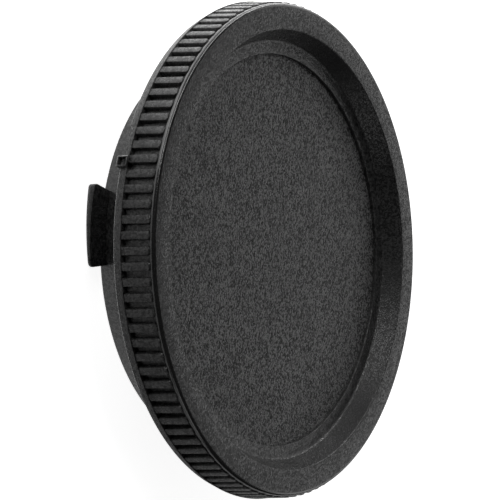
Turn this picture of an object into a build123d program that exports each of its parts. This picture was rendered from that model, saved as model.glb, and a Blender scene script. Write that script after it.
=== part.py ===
from build123d import *
import os
from math import atan, cos, degrees, radians, sin, tan

# All sizes are in millimetres. The cap lies on the rim of its collar, with its front face up:
# the axis is Z, the rim is at z = 0, and angles run anticlockwise as seen from the front.

# Flange: the thick round head of the cap. Its front ring reaches from the grip to the dish.
flange_thickness = 5.6
grip_diameter = 60.8
ring_width = 3.6

# Grip: low ridges round the flange, between a front lip and a plain rear band. The ridges have
# their full height and diameter at the band, and their tops lean in towards the lip by the draft.
# The band narrows towards the rear.
grip_draft = 3.4
ridge_count = 108
ridge_width = 1.1
ridge_height = 0.75
ridge_bevel = 0.14
ridge_root = 0.3
ridge_tip_cut = 0.38
lip_length = 0.5
lip_drop = 0.6
lip_bevel = 0.2
tip_gap = 0.12
rear_overlap = 0.05
band_length = 1.4
band_rise = 0.1
band_taper = 0.55
band_bevel = 0.12

# Dish: the sunk front, with a leaning wall, a narrow ledge and a grained floor one step lower
dish_depth = 2.4
dish_lean = 1.2
mouth_bevel = 0.12
foot_bevel = 0.25
ledge_width = 1.6
floor_step = 0.35
floor_thickness = 1.6

# Collar: the tube behind the flange that enters the camera's mount
collar_diameter = 47.9
collar_length = 6.4
collar_wall = 1.6
rim_bevel = 0.25
hollow_bevel = 0.8

# Lugs: bayonet claws at the end of the collar, each thinner towards its leading end
lug_count = 3
lug_reach = 3.05
lug_angle = 21.0
lug_thickness = 0.95
lug_ramp = 0.6
lug_corner = 0.5
lug_root = 0.8
lug_direction = 175.0

# Index: a small raised pad on the rear band with a square dimple in its face. On one side of it
# the band's rear edge is eased off.
index_direction = 162.4
index_width = 1.3
index_rise = 0.3
index_root = 0.8
dimple_wall = 0.2
dimple_depth = 0.6
ease_angle = 8.8
ease_depth = 0.5
ease_length = 0.85

# Radii and heights that follow from the sizes above
ridge_radius = grip_diameter / 2
groove_radius = ridge_radius - ridge_height
lip_radius = ridge_radius - lip_drop
band_radius = ridge_radius + band_rise
band_rear_radius = band_radius - band_taper
mouth_radius = ridge_radius - ring_width
foot_radius = mouth_radius - dish_lean
floor_radius = foot_radius - ledge_width
collar_radius = collar_diameter / 2
hollow_radius = collar_radius - collar_wall
lug_radius = collar_radius + lug_reach

seat_z = collar_length
band_front_z = seat_z + band_length
front_z = seat_z + flange_thickness
lip_rear_z = front_z - lip_length
ledge_z = front_z - dish_depth
floor_z = ledge_z - floor_step
hollow_z = floor_z - floor_thickness


def ridge_top(z):
    """The radius of the ridges' tops at height z."""
    return ridge_radius - (z - band_front_z) * tan(radians(grip_draft))


def corner(sketch, r, z):
    """The corner of a section that lies nearest to radius r and height z."""
    return sketch.vertices().sort_by_distance((r, z, 0))[0]


# One ridge of the grip, at angle 0: a bar with a blunt front tip and two bevelled long edges.
# Its rear end runs into the band and its root into the flange, and its tip stops short of the lip.
ridge_rear_z = band_front_z - rear_overlap
ridge_tip_z = lip_rear_z - tip_gap
root_radius = groove_radius - ridge_root
with BuildPart() as ridge:
    with BuildSketch(Plane.XZ):
        with BuildLine():
            Polyline(
                (root_radius, ridge_rear_z),
                (ridge_top(ridge_rear_z), ridge_rear_z),
                (ridge_top(ridge_tip_z), ridge_tip_z),
                (root_radius, ridge_tip_z),
                close=True,
            )
        make_face()
    extrude(amount=ridge_width / 2, both=True)
    chamfer(ridge.edges().filter_by(Axis.X).group_by(Axis.Z)[-1], ridge_tip_cut)
    top = ridge.faces().sort_by(Axis.X)[-1]
    chamfer(top.edges().sort_by(SortBy.LENGTH)[-2:], ridge_bevel)

# One lug, at angle 0: a ring sector with rounded outer corners. The underside slopes up
# towards the leading end, so the lug slides easily behind the claw that holds it.
lug_half = radians(lug_angle / 2)
with BuildPart() as lug:
    with BuildSketch() as lug_plan:
        Circle(lug_radius)
        Circle(collar_radius - lug_root, mode=Mode.SUBTRACT)
        reach = 2 * lug_radius
        with BuildLine():
            Polyline(
                (0, 0),
                (reach * cos(lug_half), -reach * sin(lug_half)),
                (reach * cos(lug_half), reach * sin(lug_half)),
                close=True,
            )
        make_face(mode=Mode.INTERSECT)
        fillet(lug_plan.vertices().group_by(Axis.X)[-1], lug_corner)
    extrude(amount=lug_thickness)
    lug_end = lug_radius * sin(lug_half)
    slope = degrees(atan(lug_ramp / (2 * lug_end)))
    underside = Plane(origin=(0, -lug_end, 0)).rotated((slope, 0, 0))
    split(bisect_by=underside, keep=Keep.TOP)

# The index pad, at angle 0, as long as the band is
with BuildPart() as pad:
    with BuildSketch(Plane.XY.offset(seat_z)):
        with Locations((band_radius - index_root, 0)):
            Rectangle(index_root + index_rise, index_width, align=(Align.MIN, Align.CENTER))
    extrude(amount=band_length)

# The dimple in the pad's face, at angle 0
with BuildPart() as dimple:
    with BuildSketch(Plane.YZ.offset(band_radius + index_rise)):
        with Locations((0, seat_z + band_length / 2)):
            Rectangle(index_width - 2 * dimple_wall, band_length - 2 * dimple_wall)
    extrude(amount=-dimple_depth)

# What the eased stretch of the band's edge loses, starting at angle 0. The cut rises from its depth
# under the rear edge to the band's full radius over its length.
ease_rise = band_taper + ease_depth
with BuildPart() as ease:
    with BuildSketch(Plane.XZ):
        with BuildLine():
            Polyline(
                (band_rear_radius - ease_depth - ease_rise, seat_z - ease_length),
                (band_radius + ease_rise, seat_z - ease_length),
                (band_radius + ease_rise, seat_z + 2 * ease_length),
                close=True,
            )
        make_face()
    revolve(axis=Axis.Z, revolution_arc=ease_angle)

# The whole cap
with BuildPart() as body_cap:
    with BuildSketch(Plane.XZ) as section:
        with BuildLine():
            Polyline(
                (0, floor_z),
                (0, hollow_z),
                (hollow_radius, hollow_z),
                (hollow_radius, 0),
                (collar_radius, 0),
                (collar_radius, seat_z),
                (band_rear_radius, seat_z),
                (band_radius, band_front_z),
                (groove_radius, band_front_z),
                (groove_radius, lip_rear_z),
                (lip_radius, lip_rear_z),
                (lip_radius, front_z),
                (mouth_radius, front_z),
                (foot_radius, ledge_z),
                (floor_radius, ledge_z),
                (floor_radius, floor_z),
                close=True,
            )
        make_face()
        chamfer(corner(section, lip_radius, front_z), lip_bevel)
        chamfer(corner(section, band_rear_radius, seat_z), band_bevel)
        chamfer(corner(section, mouth_radius, front_z), mouth_bevel)
        chamfer(corner(section, foot_radius, ledge_z), foot_bevel)
        chamfer(corner(section, hollow_radius, hollow_z), hollow_bevel)
        chamfer(corner(section, hollow_radius, 0), rim_bevel)
        chamfer(corner(section, collar_radius, 0), rim_bevel)
    revolve(axis=Axis.Z)

    with PolarLocations(0, ridge_count, start_angle=180 / ridge_count):
        add(ridge.part)
    with PolarLocations(0, lug_count, start_angle=lug_direction):
        add(lug.part)
    with PolarLocations(0, 1, start_angle=index_direction - ease_angle):
        add(ease.part, mode=Mode.SUBTRACT)
    with PolarLocations(0, 1, start_angle=index_direction):
        add(pad.part)
        add(dimple.part, mode=Mode.SUBTRACT)

body_cap.part.label = "body_cap"

os.makedirs("parts", exist_ok=True)
export_step(body_cap.part, "parts/body_cap.step")
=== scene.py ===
from math import atan2, cos, pi, radians, sin, tan

import bmesh
import bpy
from mathutils import Matrix, Quaternion, Vector


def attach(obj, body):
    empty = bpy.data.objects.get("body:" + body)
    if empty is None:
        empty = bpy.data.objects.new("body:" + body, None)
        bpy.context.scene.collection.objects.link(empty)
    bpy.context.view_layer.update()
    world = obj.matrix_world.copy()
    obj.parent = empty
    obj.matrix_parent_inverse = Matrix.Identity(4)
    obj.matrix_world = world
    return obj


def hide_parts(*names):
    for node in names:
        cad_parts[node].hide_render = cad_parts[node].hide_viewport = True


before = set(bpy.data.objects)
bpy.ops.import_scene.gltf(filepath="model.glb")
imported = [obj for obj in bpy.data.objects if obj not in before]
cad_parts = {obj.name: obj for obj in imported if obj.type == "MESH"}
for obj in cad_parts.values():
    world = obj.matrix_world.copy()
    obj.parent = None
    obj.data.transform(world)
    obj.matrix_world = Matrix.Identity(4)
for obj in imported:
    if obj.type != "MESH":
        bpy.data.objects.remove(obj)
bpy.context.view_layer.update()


# Moulded body: the whole cap is one injection moulding of black plastic. This is its turned form:
# the front ring with its rounded lip, the dish, the grip's floor, the tapered rear band and the
# The lip is rubbed from use. The rear edge is pale all round: a painted highlight.

MM = 0.001
NEAR = 0.004
SMOOTH_ANGLE = radians(32)
BODY_SEGMENTS = 648
FLOOR_RADIUS = 24.0
LEDGE_Z = 9.6
FLOOR_Z = 9.25
FLOOR_LAP = 0.2
FOOT_RADIUS = 25.6
MOUTH_RADIUS = 26.8
SEAT_Z = 6.4
FRONT_Z = 12.0
BAND_RADIUS = 30.5
BAND_FRONT_Z = 7.8
BAND_REAR_RADIUS = 29.95
LIP_RADIUS = 30.0
LIP_REAR_Z = 11.5
LIP_ROUND = 0.44
GROOVE_RADIUS = 29.65
COLLAR_RADIUS = 23.95
HOLLOW_RADIUS = 22.35
HOLLOW_Z = 7.65
EASE_FROM = radians(153.6)
EASE_TO = radians(161.6)
EASE_RADIUS = 30.18
EASE_Z = 6.99
EASE_DEPTH = 0.5
EDGE_ROUND = 0.16
HIGHLIGHT_PAINT_WIDTH = 0.25
LIP_SLOT = 1
PAINTED_HIGHLIGHT_SLOT = 2
PATCH_SIZE = 6.0

# (radius, height, rounding, segments of the rounding) of each ring, from the dish's floor
# outwards and back to the roof of the collar's hollow
BODY_RINGS = [
    (FLOOR_RADIUS, FLOOR_Z - FLOOR_LAP, 0, 0),
    (FLOOR_RADIUS, LEDGE_Z, 0.07, 3),
    (FOOT_RADIUS, LEDGE_Z, 0.3, 4),
    (MOUTH_RADIUS, FRONT_Z, 0.14, 4),
    (LIP_RADIUS, FRONT_Z, LIP_ROUND, 8),
    (LIP_RADIUS, LIP_REAR_Z, 0.03, 2),
    (GROOVE_RADIUS, LIP_REAR_Z, 0.05, 2),
    (GROOVE_RADIUS, BAND_FRONT_Z, 0.05, 2),
    (BAND_RADIUS, BAND_FRONT_Z, 0.07, 3),
    (EASE_RADIUS, EASE_Z, 0, 0),
    (BAND_REAR_RADIUS, SEAT_Z, EDGE_ROUND, 4),
    (COLLAR_RADIUS, SEAT_Z, 0.2, 4),
    (COLLAR_RADIUS, 0.0, 0.25, 3),
    (HOLLOW_RADIUS, 0.0, 0.25, 3),
    (HOLLOW_RADIUS, HOLLOW_Z, 0.8, 5),
]


def leave_edit():
    if bpy.context.object and bpy.context.object.mode == "EDIT":
        bpy.ops.object.mode_set(mode="OBJECT")


def deselect_all():
    leave_edit()
    bpy.ops.object.select_all(action="DESELECT")


def pick(obj, kind, test):
    """Selects the vertices, edges or faces whose points all pass the test, in edit mode."""
    mode = {"verts": "VERT", "edges": "EDGE", "faces": "FACE"}[kind]
    bpy.ops.mesh.select_mode(type=mode)
    bpy.ops.mesh.select_all(action="DESELECT")
    mesh = bmesh.from_edit_mesh(obj.data)
    for part in getattr(mesh, kind):
        points = [part.co] if kind == "verts" else [v.co for v in part.verts]
        if all(test(p / MM) for p in points):
            part.select_set(True)
    mesh.select_flush_mode()
    bmesh.update_edit_mesh(obj.data)


def give_slot_to_faces(obj, slot, test):
    """Gives the faces whose points all pass the test the material in that slot."""
    pick(obj, "faces", test)
    obj.active_material_index = slot
    bpy.ops.object.material_slot_assign()


def radius_of(p):
    return (p.x * p.x + p.y * p.y) ** 0.5


def on_ring(radius, z):
    return lambda p: abs(radius_of(p) - radius) < NEAR and abs(p.z - z) < NEAR


def on_rear_edge(p):
    """Whether a point is on the rear band's edge, also where that edge is eased."""
    return abs(p.z - SEAT_Z) < NEAR and radius_of(p) > (COLLAR_RADIUS + BAND_REAR_RADIUS) / 2


deselect_all()
first_radius, first_z = BODY_RINGS[0][:2]
bpy.ops.mesh.primitive_circle_add(vertices=BODY_SEGMENTS, radius=first_radius * MM,
                                  location=(0, 0, 0), fill_type="NOTHING")
body = bpy.context.object
body.name = "moulded_body"
bpy.ops.object.mode_set(mode="EDIT")
bpy.ops.mesh.select_all(action="SELECT")
bpy.ops.transform.translate(value=(0, 0, first_z * MM))
for (radius, z, _, _), (next_radius, next_z, _, _) in zip(BODY_RINGS, BODY_RINGS[1:]):
    bpy.ops.mesh.extrude_region_move(TRANSFORM_OT_translate={"value": (0, 0, (next_z - z) * MM)})
    grow = next_radius / radius
    bpy.ops.transform.resize(value=(grow, grow, 1), center_override=(0, 0, 0))
pick(body, "edges", on_ring(*BODY_RINGS[0][:2]))
bpy.ops.mesh.edge_face_add()
pick(body, "edges", on_ring(*BODY_RINGS[-1][:2]))
bpy.ops.mesh.edge_face_add()

# The rear band's edge is eased beside the index
pick(body, "verts", lambda p: on_rear_edge(p) and EASE_FROM < atan2(p.y, p.x) < EASE_TO)
eased = (BAND_REAR_RADIUS - EASE_DEPTH) / BAND_REAR_RADIUS
bpy.ops.transform.resize(value=(eased, eased, 1), center_override=(0, 0, SEAT_Z * MM))

for radius, z, rounding, segments in BODY_RINGS:
    if not segments:
        continue
    pick(body, "edges", on_rear_edge if radius == BAND_REAR_RADIUS else on_ring(radius, z))
    bpy.ops.mesh.bevel(offset=rounding * MM, segments=segments, profile=0.5, affect="EDGES",
                       clamp_overlap=False)
bpy.ops.mesh.select_all(action="SELECT")
bpy.ops.mesh.normals_make_consistent(inside=False)
bpy.ops.object.mode_set(mode="OBJECT")
bpy.ops.object.shade_smooth_by_angle(angle=SMOOTH_ANGLE)


def black_plastic(name, roughness, grain_size, grain_depth, colour, speckle):
    """Black moulded plastic with the fine grain of a blasted mould: tiny spots, some duller and
    darker and some glossier and paler, on broad patches that differ a little."""
    material = bpy.data.materials.new(name)
    material.use_nodes = True
    nodes = material.node_tree.nodes
    link = material.node_tree.links.new
    shader = nodes["Principled BSDF"]
    shader.inputs["IOR"].default_value = 1.5
    place = nodes.new("ShaderNodeTexCoord")

    def grain(kind, size):
        texture = nodes.new(kind)
        texture.inputs["Scale"].default_value = 1 / (size * MM)
        link(place.outputs["Object"], texture.inputs["Vector"])
        return texture

    def spread(value, low, high, start=0.3, stop=0.7):
        ramp = nodes.new("ShaderNodeMapRange")
        ramp.inputs["From Min"].default_value = start
        ramp.inputs["From Max"].default_value = stop
        ramp.inputs["To Min"].default_value = low
        ramp.inputs["To Max"].default_value = high
        link(value, ramp.inputs["Value"])
        return ramp.outputs["Result"]

    def joined(operation, first, second):
        node = nodes.new("ShaderNodeMath")
        node.operation = operation
        link(first, node.inputs[0])
        link(second, node.inputs[1])
        return node.outputs[0]

    spots = grain("ShaderNodeTexVoronoi", grain_size)
    patches = grain("ShaderNodeTexNoise", PATCH_SIZE)
    patches.inputs["Detail"].default_value = 4
    tone = spots.outputs["Color"]
    broad = patches.outputs["Fac"]
    paint = spread(tone, colour * (1 - speckle), colour * (1 + speckle), 0.4, 0.6)
    link(joined("MULTIPLY", paint, spread(broad, 0.85, 1.15)), shader.inputs["Base Color"])
    gloss = spread(tone, 0.16 * speckle, -0.13 * speckle)
    dull = spread(broad, roughness - 0.03, roughness + 0.03)
    link(joined("ADD", dull, gloss), shader.inputs["Roughness"])
    bump = nodes.new("ShaderNodeBump")
    bump.invert = True
    bump.inputs["Distance"].default_value = grain_depth * MM
    link(spots.outputs["Distance"], bump.inputs["Height"])
    link(bump.outputs["Normal"], shader.inputs["Normal"])
    return material


body_plastic = black_plastic("satin black plastic", roughness=0.36, grain_size=0.18,
                             grain_depth=0.025, colour=0.022, speckle=1.0)
lip_plastic = black_plastic("rubbed lip", roughness=0.2, grain_size=0.17, grain_depth=0.003,
                            colour=0.012, speckle=0.3)
lip_plastic.node_tree.nodes["Principled BSDF"].inputs["IOR"].default_value = 1.7
# Pale colour: a painted highlight on the rear band's edge and on two edges of the index pad.
painted_highlight_plastic = black_plastic("pale edge painted highlight", roughness=0.15, grain_size=0.17, grain_depth=0.003,
                             colour=0.5, speckle=0.2)
for plastic in (body_plastic, lip_plastic, painted_highlight_plastic):
    body.data.materials.append(plastic)
bpy.ops.object.mode_set(mode="EDIT")
give_slot_to_faces(body, LIP_SLOT, lambda p: radius_of(p) > LIP_RADIUS - LIP_ROUND - NEAR
     and p.z > LIP_REAR_Z - NEAR)
# The rear band's edge all round gets the pale colour: a painted highlight.
give_slot_to_faces(body, PAINTED_HIGHLIGHT_SLOT, lambda p: radius_of(p) > BAND_REAR_RADIUS - HIGHLIGHT_PAINT_WIDTH
     and p.z < SEAT_Z + EDGE_ROUND + NEAR)
leave_edit()
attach(body, "root")
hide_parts("body_cap")


# Grip ridges: 108 ridges moulded on the flange for the fingers. Each is a small bar with a rounded
# tip towards the front lip and drafted sides, and it ends square against the proud rear band.

RIDGE_COUNT = 108
RIDGE_WIDTH = 1.1
RIDGE_TOP_WIDTH = 0.98
RIDGE_TOP = 30.4
RIDGE_DRAFT = radians(3.4)
RIDGE_ROOT = 29.4
RIDGE_REAR_Z = 7.7
RIDGE_TIP_Z = 11.52
RIDGE_TIP_ROUND = 0.34
RIDGE_EDGE_ROUND = 0.12
TOP_SLACK = 0.02

deselect_all()
bpy.ops.mesh.primitive_cube_add(
    size=1,
    location=((RIDGE_TOP + RIDGE_ROOT) / 2 * MM, 0, (RIDGE_REAR_Z + RIDGE_TIP_Z) / 2 * MM),
    scale=((RIDGE_TOP - RIDGE_ROOT) * MM, RIDGE_WIDTH * MM, (RIDGE_TIP_Z - RIDGE_REAR_Z) * MM))
ridges = bpy.context.object
ridges.name = "grip_ridges"
bpy.ops.object.transform_apply(location=True, rotation=True, scale=True)
bpy.ops.object.mode_set(mode="EDIT")
pick(ridges, "verts", lambda p: p.x > RIDGE_TOP - NEAR)
bpy.ops.transform.rotate(value=RIDGE_DRAFT, orient_axis="Y",
                         center_override=(RIDGE_TOP * MM, 0, BAND_FRONT_Z * MM))
pick(ridges, "verts", lambda p: p.x > (RIDGE_TOP + RIDGE_ROOT) / 2)
bpy.ops.transform.resize(value=(1, RIDGE_TOP_WIDTH / RIDGE_WIDTH, 1), center_override=(0, 0, 0))
for side in (-1, 1):
    pick(ridges, "edges", lambda p: p.z > (RIDGE_REAR_Z + RIDGE_TIP_Z) / 2 and p.y * side > 0)
    bpy.ops.mesh.bevel(offset=RIDGE_TIP_ROUND * MM, segments=5, profile=0.5, affect="EDGES")
pick(ridges, "edges",
     lambda p: p.x > RIDGE_TOP - (p.z - BAND_FRONT_Z) * tan(RIDGE_DRAFT) - TOP_SLACK)
bpy.ops.mesh.bevel(offset=RIDGE_EDGE_ROUND * MM, segments=2, profile=0.5, affect="EDGES")
bpy.ops.mesh.select_all(action="SELECT")
bpy.ops.mesh.normals_make_consistent(inside=False)
bpy.ops.transform.rotate(value=-pi / RIDGE_COUNT, orient_axis="Z", center_override=(0, 0, 0))
bpy.ops.mesh.spin(steps=RIDGE_COUNT - 1, dupli=True, center=(0, 0, 0), axis=(0, 0, 1),
                  angle=2 * pi * (RIDGE_COUNT - 1) / RIDGE_COUNT)
bpy.ops.object.mode_set(mode="OBJECT")
bpy.ops.object.shade_smooth_by_angle(angle=SMOOTH_ANGLE)
ridges.data.materials.append(body_plastic)
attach(ridges, "root")


# Grained floor: the sunk front face of the dish, moulded with a fine pebbled grain like leather.
# It is a thin disc of real relief that laps into the body's plain step.

GRAIN_CELLS = 338
GRAIN_MARGIN = 0.1
GRAIN_RADIUS = FLOOR_RADIUS + GRAIN_MARGIN
GRAIN_THICKNESS = 0.25
GRAIN_SMOOTH_ANGLE = radians(60)
PEBBLE_SIZE = 0.4
PEBBLE_HEIGHT = 0.2
SWELL_SIZE = 1.1
SWELL_HEIGHT = 0.05


def pick_rim(mode):
    """Selects the open edge of the mesh in edit mode."""
    bpy.ops.mesh.select_mode(type=mode)
    bpy.ops.mesh.select_all(action="DESELECT")
    bpy.ops.mesh.select_non_manifold(extend=False, use_wire=False, use_boundary=True,
                                     use_multi_face=False, use_non_contiguous=False,
                                     use_verts=False)


deselect_all()
bpy.ops.mesh.primitive_grid_add(x_subdivisions=GRAIN_CELLS, y_subdivisions=GRAIN_CELLS,
                                size=2 * (GRAIN_RADIUS + GRAIN_MARGIN) * MM, location=(0, 0, 0))
grain = bpy.context.object
grain.name = "grained_floor"
bpy.ops.object.mode_set(mode="EDIT")
bpy.ops.mesh.select_all(action="SELECT")
bpy.ops.transform.translate(value=(0, 0, FLOOR_Z * MM))
pick(grain, "verts", lambda p: radius_of(p) > GRAIN_RADIUS)
bpy.ops.mesh.delete(type="VERT")
pick_rim("VERT")
bpy.ops.transform.tosphere(value=1.0)
bpy.ops.object.mode_set(mode="OBJECT")

for label, kind, size, height in (("pebbles", "VORONOI", PEBBLE_SIZE, PEBBLE_HEIGHT),
                                  ("swell", "CLOUDS", SWELL_SIZE, SWELL_HEIGHT)):
    texture = bpy.data.textures.new(label, kind)
    texture.noise_scale = size * MM
    if kind == "VORONOI":
        texture.weight_1 = -1.0
        texture.weight_2 = 1.0
        texture.noise_intensity = 1.0
    modifier = grain.modifiers.new(label, "DISPLACE")
    modifier.texture = texture
    modifier.texture_coords = "LOCAL"
    modifier.direction = "Z"
    modifier.mid_level = 0.5
    modifier.strength = height * MM
    bpy.context.view_layer.objects.active = grain
    bpy.ops.object.modifier_apply(modifier=label)

bpy.ops.object.mode_set(mode="EDIT")
pick_rim("EDGE")
bpy.ops.mesh.extrude_region_move(TRANSFORM_OT_translate={"value": (0, 0, -GRAIN_THICKNESS * MM)})
bpy.ops.mesh.edge_face_add()
bpy.ops.mesh.select_all(action="SELECT")
bpy.ops.mesh.normals_make_consistent(inside=False)
bpy.ops.object.mode_set(mode="OBJECT")
bpy.ops.object.shade_smooth_by_angle(angle=GRAIN_SMOOTH_ANGLE)
grain_plastic = black_plastic("grained black plastic", roughness=0.46, grain_size=0.2,
                              grain_depth=0.08, colour=0.053, speckle=1.0)
grain.data.materials.append(grain_plastic)
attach(grain, "root")


# Bayonet lugs: three claws at the end of the collar, moulded with it. Each thins towards its
# leading end, so that it slides behind the camera's claw.

LUG_COUNT = 3
LUG_DIRECTION = radians(175.0)
LUG_ANGLE = radians(21.0)
LUG_INNER = 23.4
LUG_OUTER = 27.0
LUG_TOP = 0.95
LUG_RAMP = 0.6
LUG_STEPS = 12
LUG_CORNER = 0.55
LUG_EDGE = 0.07
MERGE = 0.002
SHARP_ANGLE = radians(50)


def turn_into_place(obj, angle):
    """Turns a finished mesh about the cap's axis, anticlockwise as seen from the front."""
    leave_edit()
    obj.rotation_euler = (0, 0, angle)
    bpy.ops.object.transform_apply(location=True, rotation=True, scale=True)


deselect_all()
bpy.ops.mesh.primitive_plane_add(
    size=1,
    location=((LUG_INNER + LUG_OUTER) / 2 * MM, 0, LUG_TOP / 2 * MM),
    rotation=(pi / 2, 0, 0))
lugs = bpy.context.object
lugs.name = "bayonet_lugs"
lugs.scale = ((LUG_OUTER - LUG_INNER) * MM, LUG_TOP * MM, 1)
bpy.ops.object.transform_apply(location=True, rotation=True, scale=True)
bpy.ops.object.mode_set(mode="EDIT")
bpy.ops.mesh.select_all(action="SELECT")
bpy.ops.mesh.spin(steps=LUG_STEPS, angle=LUG_ANGLE, center=(0, 0, 0), axis=(0, 0, 1))
bpy.ops.mesh.select_all(action="SELECT")
bpy.ops.mesh.remove_doubles(threshold=MERGE * MM)
bpy.ops.mesh.normals_make_consistent(inside=False)
bpy.ops.object.mode_set(mode="OBJECT")
spun_to = sum(atan2(v.co.y, v.co.x) for v in lugs.data.vertices) / len(lugs.data.vertices)
turn_into_place(lugs, -spun_to)

# The underside slopes up to the leading end, and the outer corners and all edges are rounded
lug_end = LUG_OUTER * sin(LUG_ANGLE / 2)
bpy.ops.object.mode_set(mode="EDIT")
pick(lugs, "verts", lambda p: abs(p.z) < NEAR)
bpy.ops.transform.rotate(value=-atan2(LUG_RAMP, 2 * lug_end), orient_axis="X",
                         center_override=(0, -lug_end * MM, 0))
pick(lugs, "edges", lambda p: abs(radius_of(p) - LUG_OUTER) < LUG_EDGE
     and abs(abs(atan2(p.y, p.x)) - LUG_ANGLE / 2) < LUG_ANGLE / LUG_STEPS / 4)
bpy.ops.mesh.bevel(offset=LUG_CORNER * MM, segments=5, profile=0.5, affect="EDGES",
                   clamp_overlap=False)
bpy.ops.mesh.select_mode(type="EDGE")
bpy.ops.mesh.select_all(action="DESELECT")
bpy.ops.mesh.edges_select_sharp(sharpness=SHARP_ANGLE)
bpy.ops.mesh.bevel(offset=LUG_EDGE * MM, segments=2, profile=0.5, affect="EDGES",
                   clamp_overlap=True)
bpy.ops.mesh.select_all(action="SELECT")
bpy.ops.mesh.remove_doubles(threshold=MERGE * MM)
bpy.ops.mesh.normals_make_consistent(inside=False)
bpy.ops.mesh.spin(steps=LUG_COUNT - 1, dupli=True, angle=2 * pi * (LUG_COUNT - 1) / LUG_COUNT,
                  center=(0, 0, 0), axis=(0, 0, 1))
turn_into_place(lugs, LUG_DIRECTION)
bpy.ops.object.shade_smooth_by_angle(angle=SMOOTH_ANGLE)
lugs.data.materials.append(body_plastic)
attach(lugs, "root")


# Index pad: a small raised pad moulded on the rear band, with a square dimple in its face. It is
# lined up with the camera's mark when the cap goes on. Two of its edges, the rear one and the one
# on its +Y side, where the light comes from, are pale: a painted highlight.

INDEX_DIRECTION = radians(162.4)
INDEX_WIDTH = 1.3
INDEX_ROOT = 29.7
INDEX_TOP = 30.8
INDEX_LENGTH = BAND_FRONT_Z - SEAT_Z
INDEX_WALL = 0.2
DIMPLE_DEPTH = 0.6
INDEX_ROUND = 0.08
INDEX_HIGHLIGHT_SLOT = 1

deselect_all()
bpy.ops.mesh.primitive_cube_add(
    size=1,
    location=((INDEX_ROOT + INDEX_TOP) / 2 * MM, 0, (SEAT_Z + INDEX_LENGTH / 2) * MM),
    scale=((INDEX_TOP - INDEX_ROOT) * MM, INDEX_WIDTH * MM, INDEX_LENGTH * MM))
index = bpy.context.object
index.name = "index_pad"
bpy.ops.object.transform_apply(location=True, rotation=True, scale=True)
bpy.ops.object.mode_set(mode="EDIT")
pick(index, "faces", lambda p: p.x > INDEX_TOP - NEAR)
bpy.ops.mesh.inset(thickness=INDEX_WALL * MM)
bpy.ops.mesh.extrude_region_move(TRANSFORM_OT_translate={"value": (-DIMPLE_DEPTH * MM, 0, 0)})
bpy.ops.mesh.select_mode(type="EDGE")
bpy.ops.mesh.select_all(action="DESELECT")
bpy.ops.mesh.edges_select_sharp(sharpness=SHARP_ANGLE)
bpy.ops.mesh.bevel(offset=INDEX_ROUND * MM, segments=2, profile=0.5, affect="EDGES",
                   clamp_overlap=True)
for plastic in (body_plastic, painted_highlight_plastic):
    index.data.materials.append(plastic)
# The pad's rear edge and its +Y edge get the pale colour: a painted highlight.
give_slot_to_faces(index, INDEX_HIGHLIGHT_SLOT, lambda p: p.x > INDEX_TOP - INDEX_ROUND - NEAR
     and p.z < SEAT_Z + INDEX_ROUND + NEAR)
give_slot_to_faces(index, INDEX_HIGHLIGHT_SLOT, lambda p: p.x > INDEX_TOP - INDEX_ROUND - NEAR
     and p.y < INDEX_ROUND + NEAR - INDEX_WIDTH / 2)
turn_into_place(index, INDEX_DIRECTION)
bpy.ops.object.shade_smooth_by_angle(angle=SMOOTH_ANGLE)
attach(index, "root")


# Floor: white paper under the cap and all round it. The camera sees it white. In reflections it
# also glows, a painted reflection: white under the flange, where the paper lies in the cap's
# shade, and on the cap's +Y side, from WHITE_FROM on, and dim on the other side, up to DIM_UP_TO.
# It keeps the cap's shadow.

PAPER_SIZE = 8000
PAPER_COLOUR = (0.85, 0.85, 0.85, 1)
PAPER_ROUGHNESS = 0.9
SEEN_STRENGTH = 0.9
DIM_STRENGTH = 0.15
DIM_UP_TO = 10
WHITE_FROM = 34
GLOW_UNDER_CAP_RADIUS = 27.5

deselect_all()
bpy.ops.mesh.primitive_plane_add(size=PAPER_SIZE * MM, location=(0, 0, 0))
floor = bpy.context.object
floor.name = "floor"
paper = bpy.data.materials.new("white paper")
paper.use_nodes = True
nodes = paper.node_tree.nodes
link = paper.node_tree.links.new
nodes["Principled BSDF"].inputs["Base Color"].default_value = PAPER_COLOUR
nodes["Principled BSDF"].inputs["Roughness"].default_value = PAPER_ROUGHNESS


def reckoned(operation, first, second):
    """The output of a math node on an output and a second one or a number."""
    node = nodes.new("ShaderNodeMath")
    node.operation = operation
    link(first, node.inputs[0])
    if isinstance(second, float):
        node.inputs[1].default_value = second
    else:
        link(second, node.inputs[1])
    return node.outputs[0]


rays = nodes.new("ShaderNodeLightPath").outputs
place = nodes.new("ShaderNodeTexCoord").outputs["Object"]
axes = nodes.new("ShaderNodeSeparateXYZ")
link(place, axes.inputs[0])
reach = nodes.new("ShaderNodeVectorMath")
reach.operation = "LENGTH"
link(place, reach.inputs[0])
# Painted reflection: the paper under the flange glows in reflections, though it lies in shade.
under = reckoned("LESS_THAN", reach.outputs["Value"], GLOW_UNDER_CAP_RADIUS * MM)
along = nodes.new("ShaderNodeMapRange")
along.inputs["From Min"].default_value = DIM_UP_TO * MM
along.inputs["From Max"].default_value = WHITE_FROM * MM
along.inputs["To Min"].default_value = DIM_STRENGTH
along.inputs["To Max"].default_value = 1
link(axes.outputs["Y"], along.inputs["Value"])
painted_reflection_glow = reckoned("MAXIMUM", under, along.outputs["Result"])
seen = reckoned("MULTIPLY", rays["Is Camera Ray"], SEEN_STRENGTH)
bent = reckoned("ADD", rays["Is Glossy Ray"], rays["Is Transmission Ray"])
painted_reflection = reckoned("MULTIPLY", bent, painted_reflection_glow)
white = nodes.new("ShaderNodeEmission")
link(reckoned("ADD", seen, painted_reflection), white.inputs["Strength"])
both = nodes.new("ShaderNodeAddShader")
link(nodes["Principled BSDF"].outputs[0], both.inputs[0])
link(white.outputs[0], both.inputs[1])
link(both.outputs[0], nodes["Material Output"].inputs["Surface"])
floor.data.materials.append(paper)


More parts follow.
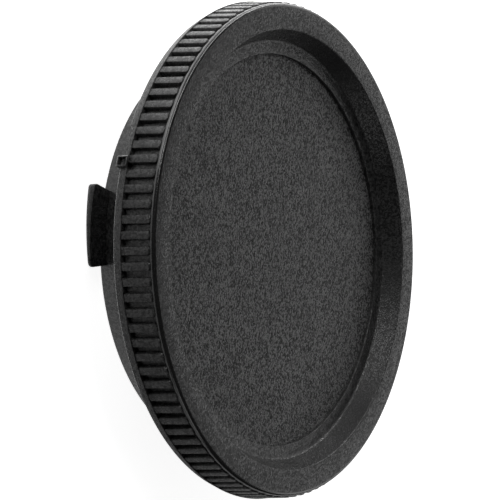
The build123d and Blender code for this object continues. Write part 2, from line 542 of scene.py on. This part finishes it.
# Light: a dim white room, four softboxes that face the cap, and a small lamp close over the paper
# on its +Y side. The back softbox stands near, so that the front ring shines more there, and the
# long strip draws the line of light on the rounded lip. Lamps are placed and sized in metres.

WORLD_STRENGTH = 0.02

world = bpy.data.worlds.new("studio")
bpy.context.scene.world = world
world.use_nodes = True
world.node_tree.nodes["Background"].inputs["Color"].default_value = (1, 1, 1, 1)
world.node_tree.nodes["Background"].inputs["Strength"].default_value = WORLD_STRENGTH


def area_lamp(name, place, width, height, power):
    """A flat lamp that looks straight down."""
    deselect_all()
    bpy.ops.object.light_add(type="AREA", location=place)
    lamp = bpy.context.object
    lamp.name = name
    lamp.data.shape = "RECTANGLE"
    lamp.data.size = width
    lamp.data.size_y = height
    lamp.data.energy = power
    return lamp


def softbox(name, around, above, distance, width, height, power, roll=0):
    """A lamp that faces the cap, in the direction given in degrees round the axis and above the
    floor."""
    level = distance * cos(radians(above))
    rise = distance * sin(radians(above))
    place = Vector((level * cos(radians(around)), level * sin(radians(around)), rise))
    lamp = area_lamp(name, place, width, height, power)
    aim = (-place).to_track_quat("-Z", "Y")
    lamp.rotation_euler = (aim @ Quaternion((0, 0, 1), radians(roll))).to_euler()


softbox("back", 3, 27, 0.16, 0.25, 0.07, 0.06)
softbox("key", 129, 15, 1.0, 0.6, 0.45, 2.6)
softbox("strip", 77, 43, 0.75, 1.3, 0.06, 3.2, 38)
softbox("fill", 255, 18, 1.0, 0.5, 0.45, 0.6)
area_lamp("paper_wash", (-0.004, 0.056, 0.016), 0.1, 0.03, 0.03)


# Camera: it looks down on the cap from the side and is rolled, as the photo shows the cap on edge.
# Its place, in millimetres, and its right and up directions come from the circles in the photo.

CAMERA_SPOT = (-232.974, -7.74, 155.79)
CAMERA_RIGHT = (0.54245, 0.00157, 0.84009)
CAMERA_UP = (-0.02435, 0.99961, 0.01386)
SENSOR_WIDTH = 36
LENS = 161.62

right = Vector(CAMERA_RIGHT).normalized()
back = right.cross(Vector(CAMERA_UP)).normalized()
up = back.cross(right)
bpy.ops.object.camera_add(location=Vector(CAMERA_SPOT) * MM)
camera = bpy.context.object
camera.rotation_euler = Matrix((right, up, back)).transposed().to_euler()
camera.data.sensor_width = SENSOR_WIDTH
camera.data.lens = LENS
camera.data.clip_start = 0.01
camera.data.clip_end = 20
bpy.context.scene.camera = camera
bpy.context.scene.view_settings.view_transform = "Standard"
